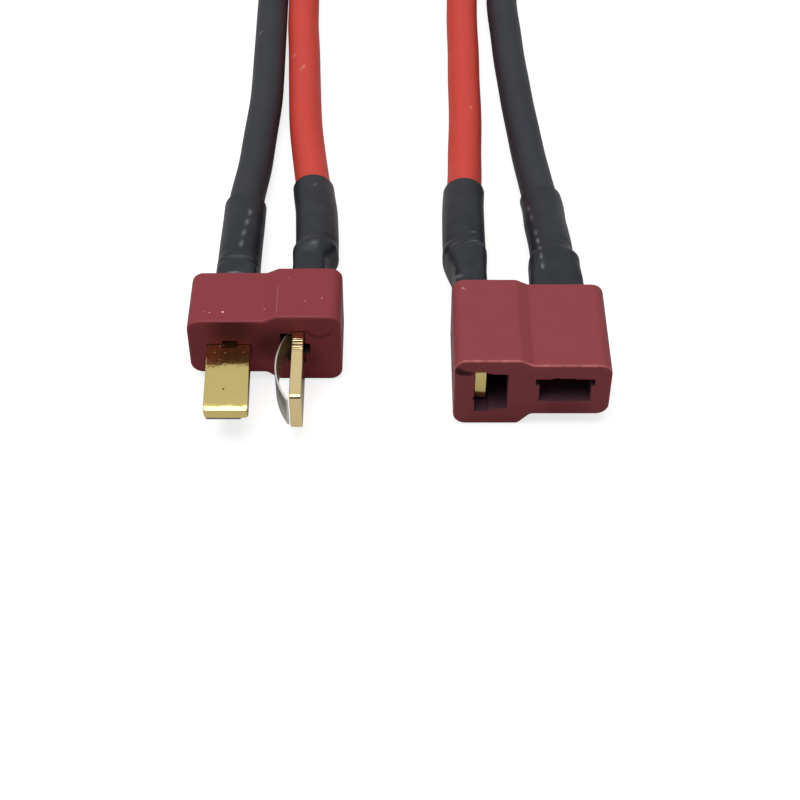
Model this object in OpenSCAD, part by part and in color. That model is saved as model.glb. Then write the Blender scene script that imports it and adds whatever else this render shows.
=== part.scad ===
// Battery lead with a two-blade plug at one end and the matching two-slot socket at the other.
// Both ends lie side by side on a table, and the two wires between them turn back in one bend.
// The plug's and the socket's mating faces look towards -Y, and the table is z = 0.

/* [Housings] */
// Width of both housings
housing_w = 15.8; // [15.2:0.1:17]
// Height of the thick half, which holds the upright contact
thick_h = 8.9; // [8.6:0.1:9.6]
// Height of the thin half, which holds the flat contact
thin_h = 7.1; // [6.6:0.1:7.5]
// Height of the lower step, from the table to the thin half's underside
low_step = 1.1; // [0.7:0.1:1.3]
// Width of the sloped step between the two halves
step_run = 1.25; // [0.9:0.05:1.6]
// Radius of the four long outer corners
corner_r = 1.3; // [0.9:0.1:2]
// Radius where the step's slope meets the flat sides
step_r = 0.7; // [0.5:0.1:0.9]
// Radius of the moulded edge round the front and rear faces
edge_r = 0.3; // [0.15:0.05:0.4]
// Depth of the plug's housing, front to rear
male_depth = 7.5; // [7:0.1:9]
// Depth of the socket's housing, front to rear
female_depth = 12.3; // [11.6:0.1:14]
// Distance between the centres of the two housings as they lie
pair_spacing = 27.2; // [26:0.1:30]

/* [Plug blades] */
// Width of both blades
blade_w = 4.5; // [4.2:0.05:4.7]
// Thickness of both blades
blade_t = 1.2; // [1:0.05:1.3]
// Length of blade that stands out of the plug
blade_reach = 9.3; // [8.5:0.1:9.6]
// Radius of the blade's tip corners
tip_r = 0.7; // [0.4:0.05:1]
// Bevel round the blade's tip, on both faces
tip_bevel = 0.35; // [0.2:0.05:0.45]
// Distance of the flat blade's centre from the plug's centre
flat_blade_x = 3.7; // [3.6:0.05:3.8]
// Distance of the flat blade's centre below the middle height
flat_blade_drop = 0.15; // [0:0.05:0.3]
// Distance of the upright blade's centre from the plug's centre
upright_blade_x = 3.5; // [3.4:0.05:3.7]

/* [Leaf springs] */
// Width of the spring strip
spring_w = 3.5; // [3:0.1:3.8]
// Thickness of the spring strip
spring_t = 0.2; // [0.15:0.05:0.25]
// Height of the bow between the strip and its blade
spring_bow = 1.55; // [1.2:0.05:1.7]
// Distance from the spring's free end to the blade's tip
spring_setback = 0.15; // [0.1:0.05:0.5]

/* [Socket contacts] */
// Width of both contact plates
contact_w = 5; // [4.8:0.1:5.2]
// Thickness of both contact plates
contact_t = 1.1; // [1:0.05:1.2]
// Depth from the socket's front face to the contacts
contact_recess = 1.4; // [1:0.1:2]
// Bevel round the contacts' front ends, on both faces
contact_bevel = 0.12; // [0.05:0.01:0.25]
// Depth of the blade slots
slot_depth = 10; // [9.8:0.1:10.5]

/* [Solder ends] */
// Width of the plug's solder tabs
male_tab_w = 3.2; // [2.8:0.1:3.6]
// Width of the socket's solder tabs
female_tab_w = 4.2; // [3.8:0.1:4.4]
// Length of the tabs behind the housings
tab_l = 5; // [4.5:0.1:5.3]
// Width of the flattened bundle of copper strands
strands_w = 2.6; // [2:0.1:2.8]
// Thickness of the flattened bundle of copper strands
strands_t = 1.3; // [1.1:0.05:1.4]
// Thickness of solder over the strands
solder_t = 0.15; // [0.1:0.05:0.25]

/* [Wires and sleeves] */
// Outer diameter of both wires
wire_d = 4; // [3.6:0.1:4.1]
// Wall of the shrunk sleeves
sleeve_wall = 0.25; // [0.2:0.05:0.4]
// Length of the sleeve on the plug's black wire
male_negative_sleeve_l = 18.1; // [14:0.1:20]
// Length of the sleeve on the plug's red wire
male_positive_sleeve_l = 20.9; // [14:0.1:22]
// Length of the sleeve on the socket's black wire
female_negative_sleeve_l = 20.2; // [14:0.1:22]
// Length of the sleeve on the socket's red wire
female_positive_sleeve_l = 22.2; // [14:0.1:23.5]

/* [Clearances] */
// Gap all round where a contact sits in its housing
fit_gap = 0.05; // [0.03:0.01:0.1]
// Gap between the mated flat blade and the socket's contact
flat_play = 0.1; // [0.05:0.01:0.15]
// Gap between the mated upright blade and the socket's contact, until its spring closes it
upright_play = 0.4; // [0.3:0.05:0.45]
// Room for the flattened spring beside the mated flat blade
flat_spring_room = 0.65; // [0.4:0.05:0.7]
// Room for the flattened spring beside the mated upright blade
upright_spring_room = 0.45; // [0.35:0.05:0.55]
// Gap between the wire and its sleeve
sleeve_gap = 0.12; // [0.08:0.01:0.2]

/* [Hidden] */
$fn = 48;
eps = 0.01;
through = 1;

// Places of the two ends. The origin is at the middle of the object's base, without the wires.
male_x = -pair_spacing / 2;
female_x = pair_spacing / 2;
male_front_y = -9.4;
female_front_y = -15.8;
mid_z = low_step + thin_h / 2;
male_rear_y = male_front_y + male_depth;
female_rear_y = female_front_y + female_depth;

// Both steps start in the middle of the width. The upper one is lower than the one below.
step_x = 0;
top_slope = atan2(thick_h - thin_h - low_step, step_run);
low_slope = atan2(low_step, step_run);
corner_steps = 4;
step_steps = 2;
edge_steps = 2;

// Notches in a contact's edges, which lock it in its housing
notch_l = 1.6;
notch_deep = 0.45;
male_notch_y = 4;
female_notch_y = 8;
channel_front = 3;
contact_tip_r = 0.6;
tab_tip_r = 0.7;

// Pocket beside each blade for its spring, and the strip's straight leg deep in the housing
pocket_depth = 4.5;
pocket_margin = 0.2;
spring_root_y = 1;
spring_leg_end_y = 6;

// Small blind openings that leave the mould round the blades
cored_w = 1.75;
cored_h = 0.55;
cored_depth = 2.5;
side_cored_w = 0.45;
side_cored_h = 1.3;

// Socket slots, seen from the front
flat_slot_x = 3.4;
flat_slot_play = 0.7;
flat_slot_step = 0.03;
flat_wide_play = 0.95;
flat_notch_w = 2.3;
flat_notch_h = 0.2;
flat_notch_shift = 0.2;
upright_slot_play = 0.15;
upright_slot_side = 0.25;
upright_wide_play = 0.4;
upright_wide_side = 0.2;
upright_contact_drop = 0.1;

// Contact places in the socket, mirrored from the plug's blades
flat_contact_z = -flat_blade_drop + blade_t / 2 + flat_play + contact_t / 2;
upright_contact_x = upright_blade_x + blade_t / 2 + upright_play + contact_t / 2;

// Solder joint: the strands lie on the tab's face and end where the insulation starts
strands_start = 1.2;
solder_start = 1.6;
solder_short = 0.6;
solder_edge = 0.2;
bare_l = 0.4;
wire_start = tab_l + bare_l;
male_lift = (blade_t + strands_t) / 2;
female_lift = (contact_t + strands_t) / 2;

// Sleeve section shape: squareness 2 is round, and 4 is a rounded square
sleeve_sides = 24;
tab_margin_off = 0.2;
tab_margin_along = 0.45;
end_margin_off = 0.12;
end_margin_along = 0.35;
tab_form = 4;
end_form = 3;
wire_form = 2;
tab_blend = 0.9;
end_hold = 0.3;
end_blend = 1.3;
blend_steps = 3;
sleeve_steps = 5;

// Black wire from the plug's flat blade to the socket's flat contact: x, y, z
black_route = [
  [-17.3, 3.5, 3.25], [-17.3, 6, 3.25], [-17.3, 9.5, 3.05], [-17.3, 13, 2.75], [-17.3, 16.5, 2.5],
  [-17.1, 20, 2.2], [-16.8, 23.5, 2], [-16.6, 27.5, 2], [-16.4, 32, 2], [-16.2, 36.5, 2],
  [-16.2, 41, 2], [-16.3, 47, 2], [-16.4, 53, 2], [-16.5, 59, 2], [-16.4, 64.5, 2],
  [-15.2, 70.3, 2], [-12, 75.2, 2], [-7.2, 78.4, 2], [-1.4, 79.4, 2], [4.4, 78.4, 2],
  [9.3, 75.2, 2], [12.6, 70.3, 2], [13.9, 64.5, 2], [13.8, 59, 2], [14, 52, 2],
  [14.2, 46, 2], [14.5, 41, 2], [14.8, 36, 2], [15.2, 31, 2], [15.6, 26, 2],
  [16, 22, 2.1], [16.3, 18.5, 2.45], [16.6, 15, 2.95], [16.8, 11.5, 3.55], [17, 8, 4.15],
  [17.1, 4.5, 4.5], [17.1, 1.9, 4.5]
];

// Red wire from the plug's upright blade to the socket's upright contact. It rides over the black
// wire in the bend, because both wires are cut to one length.
red_route = [
  [-8.85, 3.5, 4.65], [-8.85, 6.5, 4.65], [-9, 10, 4.35], [-9.2, 13.5, 3.8], [-9.5, 17, 3.15],
  [-9.8, 20, 2.6], [-10.2, 23.5, 2.15], [-10.6, 27, 2], [-11.1, 32, 2], [-11.4, 37, 2],
  [-11.7, 43, 2], [-12, 49, 2], [-12.3, 54, 2], [-12.4, 59, 2.4], [-12.6, 63, 3.4],
  [-12.7, 67.5, 4.9], [-12.5, 72, 6], [-11.4, 76.2, 6.3], [-8.7, 79.8, 6], [-5, 81.7, 5.6],
  [-2, 82.1, 5.5], [1, 81.7, 5.6], [4.7, 79.8, 6], [7.4, 76.2, 6.3], [8.5, 72, 5.7],
  [8.7, 67.5, 4.4], [8.6, 63, 3], [8.5, 58.5, 2.2], [8.4, 54, 2], [8.4, 47, 2],
  [8.3, 41, 2], [8.3, 36, 2], [8.2, 31, 2], [8, 26, 2], [7.9, 22, 2.2],
  [7.7, 18.5, 2.65], [7.5, 15, 3.25], [7.4, 11.5, 3.95], [7.35, 8, 4.4], [7.35, 4.5, 4.55],
  [7.35, 1.9, 4.55]
];
wire_sides = 10;
near_points = 7;
spring_steps = 24;

function mix(a, b, t) = a + (b - a) * t;
function eased(t) = let (c = max(0, min(1, t))) c * c * (3 - 2 * c);
function unit(v) = v / norm(v);

// Flat cap on the ring whose first point is at start, in strips between opposite points
function cap_faces(start, sides, turned) =
  [for (j = [0 : sides / 2 - 2])
    let (a = start + j, b = start + sides - 1 - j)
    turned ? [b, b - 1, a + 1, a] : [a, a + 1, b - 1, b]];

// Faces of a surface through rings of equally many points, an even number. Open ends get flat
// caps, and a ring of rings closes on itself.
function loft_faces(rings, sides, closed) = concat(
  [for (i = [0 : closed ? rings - 1 : rings - 2], j = [0 : sides - 1])
    let (a = i * sides, b = ((i + 1) % rings) * sides, k = (j + 1) % sides)
    [a + j, a + k, b + k, b + j]],
  closed ? [] : concat(cap_faces(0, sides, true), cap_faces((rings - 1) * sides, sides, false))
);

module loft(rings, closed = false) {
  polyhedron(
    points = [for (ring = rings, p = ring) p],
    faces = loft_faces(len(rings), len(rings[0]), closed)
  );
}

// One rounded corner of the housing's outline, between two sides whose outward normals point
// along the angles from and to. bulge is 1 on an outer corner and -1 on an inner one.
function corner(v, from, to, r, bulge, inset, steps) =
  let (
    u = [cos(from), sin(from)],
    w = [cos(to), sin(to)],
    centre = v - bulge * r * (u + w) / (1 + u * w)
  )
  [for (i = [0 : steps])
    let (a = mix(from, to, i / steps))
    centre + bulge * (r - bulge * inset) * [cos(a), sin(a)]];

// The housing's outline seen from the front, thick half on the right, drawn in by inset. Its
// heights count from the middle of the thin half.
function outline(inset) =
  let (w = housing_w / 2, thin = thin_h / 2, lo = -mid_z, hi = thick_h - mid_z, far = step_x + step_run)
  concat(
    corner([-w, -thin], 180, 270, corner_r, 1, inset, corner_steps),
    corner([step_x, -thin], 270, 270 - low_slope, step_r, -1, inset, step_steps),
    corner([far, lo], 270 - low_slope, 270, step_r, 1, inset, step_steps),
    corner([w, lo], 270, 360, corner_r, 1, inset, corner_steps),
    corner([w, hi], 0, 90, corner_r, 1, inset, corner_steps),
    corner([far, hi], 90, 90 + top_slope, step_r, 1, inset, step_steps),
    corner([step_x, thin], 90 + top_slope, 90, step_r, -1, inset, step_steps),
    corner([-w, thin], 90, 180, corner_r, 1, inset, corner_steps)
  );

// Solid housing from the front face at y = 0 back to depth, with a rounded edge at both faces
module housing_body(depth) {
  angles = [for (i = [0 : edge_steps]) 90 * i / edge_steps];
  front = [for (a = angles) [edge_r * (1 - cos(a)), edge_r * (1 - sin(a))]];
  rear = [for (i = [edge_steps : -1 : 0]) [depth - front[i][0], front[i][1]]];
  loft([for (ring = concat(front, rear)) [for (p = outline(ring[1])) [p[0], ring[0], p[1]]]]);
}

module box_from(lo, hi) {
  translate(lo) cube(hi - lo);
}

// Snug way through a housing for a contact of width w and thickness t, with ribs for its notches
module contact_channel(w, t, from, notch_y, depth) {
  half_w = w / 2 + fit_gap;
  half_t = t / 2 + fit_gap;
  rib = notch_deep - 2 * fit_gap;
  box_from([-half_w, from, -half_t], [half_w, notch_y + fit_gap, half_t]);
  box_from([-half_w + rib, from, -half_t], [half_w - rib, depth + through, half_t]);
  box_from([-half_w, notch_y + notch_l - fit_gap, -half_t], [half_w, depth + through, half_t]);
}

// Flat contact stamped in one piece: a plate from front_y to rear_y with round tip corners and
// locking notches, and a narrower solder tab behind it. Width lies along X, thickness along Z.
module contact_plate(w, t, front_y, rear_y, round_r, bevel, notch_y, tab_w) {
  tab_end = rear_y + tab_l;
  intersection() {
    translate([0, 0, -t / 2]) linear_extrude(t) difference() {
      union() {
        translate([-w / 2, front_y + round_r]) square([w, rear_y - front_y - round_r]);
        translate([-w / 2 + round_r, front_y]) square([w - 2 * round_r, 2 * round_r]);
        for (side = [-1, 1]) translate([side * (w / 2 - round_r), front_y + round_r]) circle(round_r);
        translate([-tab_w / 2, rear_y - eps]) square([tab_w, tab_l - tab_tip_r + eps]);
        translate([-tab_w / 2 + tab_tip_r, rear_y]) square([tab_w - 2 * tab_tip_r, tab_l]);
        for (side = [-1, 1])
          translate([side * (tab_w / 2 - tab_tip_r), tab_end - tab_tip_r]) circle(tab_tip_r);
      }
      for (side = [-1, 1])
        translate([side * w / 2 - notch_deep, notch_y]) square([2 * notch_deep, notch_l]);
    }
    rotate([0, 90, 0]) translate([0, 0, -w]) linear_extrude(2 * w) polygon([
      [-t / 2 + bevel, front_y], [t / 2 - bevel, front_y], [t / 2, front_y + 2 * bevel],
      [t / 2, tab_end], [-t / 2, tab_end], [-t / 2, front_y + 2 * bevel]
    ]);
  }
}

// Leaf spring beside a blade, bowed away from the face at z = blade_t / 2: an arc from its free
// end to its root, and a straight leg that the housing holds.
module leaf_spring() {
  face = blade_t / 2 + fit_gap;
  tip_y = -blade_reach + spring_setback;
  half = (spring_root_y - tip_y) / 2;
  r = (half * half + spring_bow * spring_bow) / (2 * spring_bow);
  span = asin(half / r);
  leg = acos((r - spring_bow + spring_t) / (r + spring_t));
  centre = [(spring_root_y + tip_y) / 2, face + spring_bow - r];
  translate([-spring_w / 2, 0, 0]) rotate([90, 0, 90]) linear_extrude(spring_w) polygon(concat(
    [for (i = [0 : spring_steps])
      let (a = mix(-span, span, i / spring_steps)) centre + r * [sin(a), cos(a)]],
    [[spring_leg_end_y, face], [spring_leg_end_y, face + spring_t]],
    [for (i = [0 : spring_steps])
      let (a = mix(leg, -span, i / spring_steps)) centre + (r + spring_t) * [sin(a), cos(a)]]
  ));
}

// Strands on the tab's face from strands_start to the insulation, lifted off the tab's middle
module strands(lift) {
  flat = strands_w - strands_t;
  translate([0, strands_start, lift]) rotate([-90, 0, 0]) linear_extrude(wire_start - strands_start) {
    square([flat, strands_t], center = true);
    for (side = [-1, 1]) translate([side * flat / 2, 0]) circle(strands_t / 2);
  }
}

// Solder that wets the tab's face and covers the strands on it
module solder(lift, t, tab_w) {
  flat = strands_w - strands_t;
  top = strands_t / 2 + solder_t;
  foot = tab_w / 2 - solder_edge;
  difference() {
    translate([0, solder_start, 0]) rotate([90, 0, 0]) mirror([0, 0, 1])
      linear_extrude(tab_l - solder_short - solder_start) {
        translate([0, lift]) square([flat, 2 * top], center = true);
        for (side = [-1, 1]) translate([side * flat / 2, lift]) circle(top);
        polygon([[-foot, t / 2], [foot, t / 2], [flat / 2, lift + top], [-flat / 2, lift + top]]);
      }
    box_from([-tab_w, 0, -lift - t], [tab_w, tab_l, t / 2]);
    strands(lift);
  }
}

// Section of a sleeve at a distance s behind the housing, as centre x, centre z, half sizes off
// and along the tab, and squareness. It wraps the tab, then the end of the insulation, then the wire.
function sleeve_section(s, tab, toward, t, lift, tab_w, near, rear_y) =
  let (
    wrap = (t + strands_t + solder_t) / 2,
    over_tab = [
      tab[0] + toward[0] * (wrap - t / 2), tab[1] + toward[1] * (wrap - t / 2),
      wrap + tab_margin_off + solder_t / 2, tab_w / 2 + tab_margin_along, tab_form
    ],
    over_end = [
      tab[0] + toward[0] * lift, tab[1] + toward[1] * lift,
      wire_d / 2 + end_margin_off, max(tab_w, wire_d) / 2 + end_margin_along, end_form
    ],
    y = rear_y + max(s, wire_start),
    round_r = wire_d / 2 + sleeve_gap,
    over_wire = [
      lookup(y, [for (p = near) [p[1], p[0]]]), lookup(y, [for (p = near) [p[1], p[2]]]),
      round_r, round_r, wire_form
    ]
  )
  mix(
    mix(over_tab, over_end, eased((s - tab_l + tab_tip_r) / tab_blend)),
    over_wire, eased((s - wire_start - end_hold) / end_blend)
  );

// Ring of points of that section, grown by wall, in the plane at y
function sleeve_ring(c, toward, y, wall) = [
  for (k = [0 : sleeve_sides - 1])
  let (
    a = 360 * k / sleeve_sides,
    along = sign(cos(a)) * pow(abs(cos(a)), 2 / c[4]) * (c[3] + wall) / cos(180 / sleeve_sides),
    off = sign(sin(a)) * pow(abs(sin(a)), 2 / c[4]) * (c[2] + wall) / cos(180 / sleeve_sides)
  )
  [
    c[0] + off * toward[0] + along * toward[1],
    y,
    c[1] + off * toward[1] - along * toward[0]
  ]
];

// Shrunk sleeve as one shell: outer rings back from the housing, then inner rings forward again
module sleeve(tab, toward, t, lift, tab_w, near, rear_y, length) {
  free = wire_start + end_hold + end_blend;
  stops = concat(
    [0, (tab_l - tab_tip_r) / 2],
    [for (i = [0 : blend_steps]) tab_l - tab_tip_r + tab_blend * i / blend_steps],
    [for (i = [0 : blend_steps]) wire_start + end_hold + end_blend * i / blend_steps],
    [for (i = [1 : sleeve_steps]) mix(free, length, i / sleeve_steps)]
  );
  sections = [for (s = stops) sleeve_section(s, tab, toward, t, lift, tab_w, near, rear_y)];
  last = len(stops) - 1;
  loft(concat(
    [for (i = [0 : last]) sleeve_ring(sections[i], toward, rear_y + stops[i], sleeve_wall)],
    [for (i = [last : -1 : 0]) sleeve_ring(sections[i], toward, rear_y + stops[i], 0)]
  ), closed = true);
}

// Wire swept along the route's own points, square to it at each
module wire(route) {
  last = len(route) - 1;
  loft([for (i = [0 : last])
    let (
      along = unit(route[min(i + 1, last)] - route[max(i - 1, 0)]),
      side = unit(cross(along, [0, 0, 1])),
      up = cross(side, along)
    )
    [for (k = [0 : wire_sides - 1])
      let (a = 360 * k / wire_sides)
      route[i] + wire_d / 2 * (cos(a) * side + sin(a) * up)]
  ]);
}

// Frames of the four terminations: width along X, the strands on the +Z side of the tab
module on_male_flat() {
  translate([male_x - flat_blade_x, male_front_y, mid_z - flat_blade_drop]) rotate([0, 180, 0]) children();
}
module on_male_upright(turn = 90) {
  translate([male_x + upright_blade_x, male_front_y, mid_z]) rotate([0, turn, 0]) children();
}
module on_female_flat() {
  translate([female_x + flat_slot_x, female_front_y, mid_z + flat_contact_z]) rotate([0, 180, 0]) children();
}
module on_female_upright() {
  translate([female_x - upright_contact_x, female_front_y, mid_z - upright_contact_drop])
    rotate([0, -90, 0]) children();
}

// Pocket for a spring over the blade's face at z = blade_t / 2, and the slit for the spring's leg
module spring_pocket() {
  half = spring_w / 2 + pocket_margin;
  face = blade_t / 2;
  box_from([-half, -through, 0], [half, pocket_depth, face + spring_bow + spring_t]);
  box_from([-half, 0, 0], [half, spring_leg_end_y + fit_gap, face + spring_t + 2 * fit_gap]);
}

module male_housing() {
  color("#84343a") difference() {
    translate([male_x, male_front_y, mid_z]) housing_body(male_depth);
    on_male_flat() {
      contact_channel(blade_w, blade_t, -through, male_notch_y, male_depth);
      spring_pocket();
      box_from([-cored_w / 2, -through, -blade_t / 2 - cored_h], [cored_w / 2, cored_depth, 0]);
    }
    on_male_upright() {
      contact_channel(blade_w, blade_t, -through, male_notch_y, male_depth);
      box_from([-side_cored_h / 2, -through, 0], [side_cored_h / 2, cored_depth, blade_t / 2 + side_cored_w]);
    }
    on_male_upright(-90) spring_pocket();
  }
}

module female_housing() {
  flat_lo = -flat_blade_drop - blade_t / 2 - flat_spring_room + 2 * flat_slot_step;
  flat_mid = -flat_blade_drop + blade_t / 2 - flat_slot_step;
  flat_hi = flat_contact_z + contact_t / 2 + fit_gap;
  narrow_w = (blade_w + flat_slot_play) / 2;
  wide_w = (contact_w + flat_wide_play) / 2;
  upright_hi = -upright_blade_x + blade_t / 2 + upright_spring_room + fit_gap;
  upright_mid = -upright_blade_x - blade_t / 2 - upright_slot_side;
  upright_lo = -upright_contact_x - contact_t / 2 - upright_wide_side;
  narrow_h = (blade_w + upright_slot_play) / 2;
  wide_h = (contact_w + upright_wide_play) / 2;
  low = -upright_contact_drop;
  color("#84343a") difference() {
    translate([female_x, female_front_y, mid_z]) difference() {
      mirror([1, 0, 0]) housing_body(female_depth);
      // Flat slot: the blade's room below, the wider contact room above, and the notch over it
      translate([flat_slot_x, 0, 0]) {
        box_from([-narrow_w, -through, flat_lo], [narrow_w, slot_depth, flat_mid + eps]);
        box_from([-wide_w, -through, flat_mid], [wide_w, channel_front, flat_hi]);
        box_from([-narrow_w, 0, flat_mid], [narrow_w, slot_depth, flat_contact_z]);
      }
      box_from(
        [flat_slot_x - flat_notch_shift - flat_notch_w / 2, -through, flat_mid],
        [flat_slot_x - flat_notch_shift + flat_notch_w / 2, channel_front, flat_hi + flat_notch_h]
      );
      // Upright slot: the blade's room on the right and the taller contact room on the left
      box_from([upright_mid - eps, -through, -narrow_h], [upright_hi, slot_depth, narrow_h]);
      box_from([upright_lo, -through, low - wide_h], [upright_mid, channel_front, low + wide_h]);
      box_from([-upright_contact_x, 0, -narrow_h], [upright_mid, slot_depth, narrow_h]);
    }
    on_female_flat() contact_channel(contact_w, contact_t, contact_recess, female_notch_y, female_depth);
    on_female_upright() contact_channel(contact_w, contact_t, contact_recess, female_notch_y, female_depth);
  }
}

module male_blade() {
  color("#c9ae62")
    contact_plate(blade_w, blade_t, -blade_reach, male_depth, tip_r, tip_bevel, male_notch_y, male_tab_w);
}
module male_negative_blade() {
  on_male_flat() male_blade();
}
module male_positive_blade() {
  on_male_upright() male_blade();
}
module male_negative_spring() {
  color("#a8a29a") on_male_flat() leaf_spring();
}
module male_positive_spring() {
  color("#a8a29a") on_male_upright(-90) leaf_spring();
}

module female_contact() {
  color("#c9ae62") contact_plate(
    contact_w, contact_t, contact_recess, female_depth, contact_tip_r, contact_bevel,
    female_notch_y, female_tab_w
  );
}
module female_negative_contact() {
  on_female_flat() female_contact();
}
module female_positive_contact() {
  on_female_upright() female_contact();
}

module male_strands() {
  color("#b87a4a") translate([0, male_depth, 0]) strands(male_lift);
}
module male_negative_strands() {
  on_male_flat() male_strands();
}
module male_positive_strands() {
  on_male_upright() male_strands();
}
module female_strands() {
  color("#b87a4a") translate([0, female_depth, 0]) strands(female_lift);
}
module female_negative_strands() {
  on_female_flat() female_strands();
}
module female_positive_strands() {
  on_female_upright() female_strands();
}

module male_solder() {
  color("#b4b6b8") translate([0, male_depth, 0]) solder(male_lift, blade_t, male_tab_w);
}
module male_negative_solder() {
  on_male_flat() male_solder();
}
module male_positive_solder() {
  on_male_upright() male_solder();
}
module female_solder() {
  color("#b4b6b8") translate([0, female_depth, 0]) solder(female_lift, contact_t, female_tab_w);
}
module female_negative_solder() {
  on_female_flat() female_solder();
}
module female_positive_solder() {
  on_female_upright() female_solder();
}

// The first points of a route, and its last points from the end backwards
function head(route) = [for (i = [0 : near_points]) route[i]];
function tail(route) = [for (i = [0 : near_points]) route[len(route) - 1 - i]];

module male_negative_sleeve() {
  color("#2c2f33") sleeve(
    [male_x - flat_blade_x, mid_z - flat_blade_drop], [0, -1], blade_t, male_lift, male_tab_w,
    head(black_route), male_rear_y, male_negative_sleeve_l
  );
}
module male_positive_sleeve() {
  color("#2c2f33") sleeve(
    [male_x + upright_blade_x, mid_z], [1, 0], blade_t, male_lift, male_tab_w,
    head(red_route), male_rear_y, male_positive_sleeve_l
  );
}
module female_negative_sleeve() {
  color("#2c2f33") sleeve(
    [female_x + flat_slot_x, mid_z + flat_contact_z], [0, -1], contact_t, female_lift, female_tab_w,
    tail(black_route), female_rear_y, female_negative_sleeve_l
  );
}
module female_positive_sleeve() {
  color("#2c2f33") sleeve(
    [female_x - upright_contact_x, mid_z - upright_contact_drop], [-1, 0], contact_t, female_lift,
    female_tab_w, tail(red_route), female_rear_y, female_positive_sleeve_l
  );
}

module black_wire() {
  color("#2e3236") wire(black_route);
}
module red_wire() {
  color("#c2453c") wire(red_route);
}

male_housing();
male_negative_blade();
male_positive_blade();
male_negative_spring();
male_positive_spring();
male_negative_strands();
male_positive_strands();
male_negative_solder();
male_positive_solder();
male_negative_sleeve();
male_positive_sleeve();
female_housing();
female_negative_contact();
female_positive_contact();
female_negative_strands();
female_positive_strands();
female_negative_solder();
female_positive_solder();
female_negative_sleeve();
female_positive_sleeve();
black_wire();
red_wire();
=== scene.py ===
import math

import bpy
import numpy as np
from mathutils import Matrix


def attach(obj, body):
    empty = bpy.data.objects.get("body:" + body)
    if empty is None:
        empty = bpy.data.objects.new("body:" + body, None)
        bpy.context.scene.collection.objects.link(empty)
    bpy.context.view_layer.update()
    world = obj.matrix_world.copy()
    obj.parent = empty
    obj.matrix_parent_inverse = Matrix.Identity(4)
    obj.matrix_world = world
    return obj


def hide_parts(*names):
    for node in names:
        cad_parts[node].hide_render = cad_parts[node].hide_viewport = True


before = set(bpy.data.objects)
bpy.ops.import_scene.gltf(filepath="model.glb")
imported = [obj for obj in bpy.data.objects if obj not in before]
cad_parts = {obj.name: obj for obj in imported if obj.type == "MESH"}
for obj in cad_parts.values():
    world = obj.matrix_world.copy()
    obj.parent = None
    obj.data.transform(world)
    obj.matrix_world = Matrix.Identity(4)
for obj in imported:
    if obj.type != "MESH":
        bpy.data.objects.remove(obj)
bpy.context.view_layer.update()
scene = bpy.context.scene
scene.view_settings.view_transform = "Standard"
mm = 0.001

print("camera")
view = {"place": (0.32, -132.21, 124.35), "down": 46.07, "lens": 74.8, "sensor": 36}  # millimetres, degrees
cameraData = bpy.data.cameras.new("photoCamera")
cameraData.lens = view["lens"]
cameraData.sensor_width = view["sensor"]
cameraData.clip_start = 0.005
cameraData.clip_end = 20
camera = bpy.data.objects.new("photoCamera", cameraData)
camera.location = [value * mm for value in view["place"]]
camera.rotation_euler = (math.radians(90 - view["down"]), 0, 0)
scene.collection.objects.link(camera)
scene.camera = camera


def linear(hexColour):
    # sRGB hex to linear: c / 12.92 near black, ((c + 0.055) / 1.055) ^ 2.4 above it
    c = np.array([int(hexColour[i:i + 2], 16) for i in (1, 3, 5)]) / 255
    return (*np.where(c <= 0.04045, c / 12.92, ((c + 0.055) / 1.055) ** 2.4), 1.0)


def addNode(tree, kind, inputs=None, stops=None, **settings):
    # adds one node, sets its properties, and fills or links its inputs; stops are a colour ramp's
    node = tree.nodes.new("ShaderNode" + kind)
    for key, value in settings.items():
        setattr(node, key, value)
    for key, value in (inputs or {}).items():
        if isinstance(value, bpy.types.NodeSocket):
            tree.links.new(value, node.inputs[key])
        else:
            node.inputs[key].default_value = value
    if stops:
        ramp = node.color_ramp
        while len(ramp.elements) < len(stops):
            ramp.elements.new(0.5)
        for element, (place, colour) in zip(ramp.elements, stops):
            element.position = place
            element.color = linear(colour) if isinstance(colour, str) else (colour, colour, colour, 1)
    return node


def newMaterial(name, colour, roughness, metallic=0.0, specular=0.5):
    # a plain material in one colour, with its node tree and its shader for what is added to it
    material = bpy.data.materials.new(name)
    material.use_nodes = True
    material.diffuse_color = linear(colour)
    shader = material.node_tree.nodes["Principled BSDF"]
    shader.inputs["Base Color"].default_value = linear(colour)
    shader.inputs["Roughness"].default_value = roughness
    shader.inputs["Metallic"].default_value = metallic
    shader.inputs["Specular IOR Level"].default_value = specular
    return material, material.node_tree, shader


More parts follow.
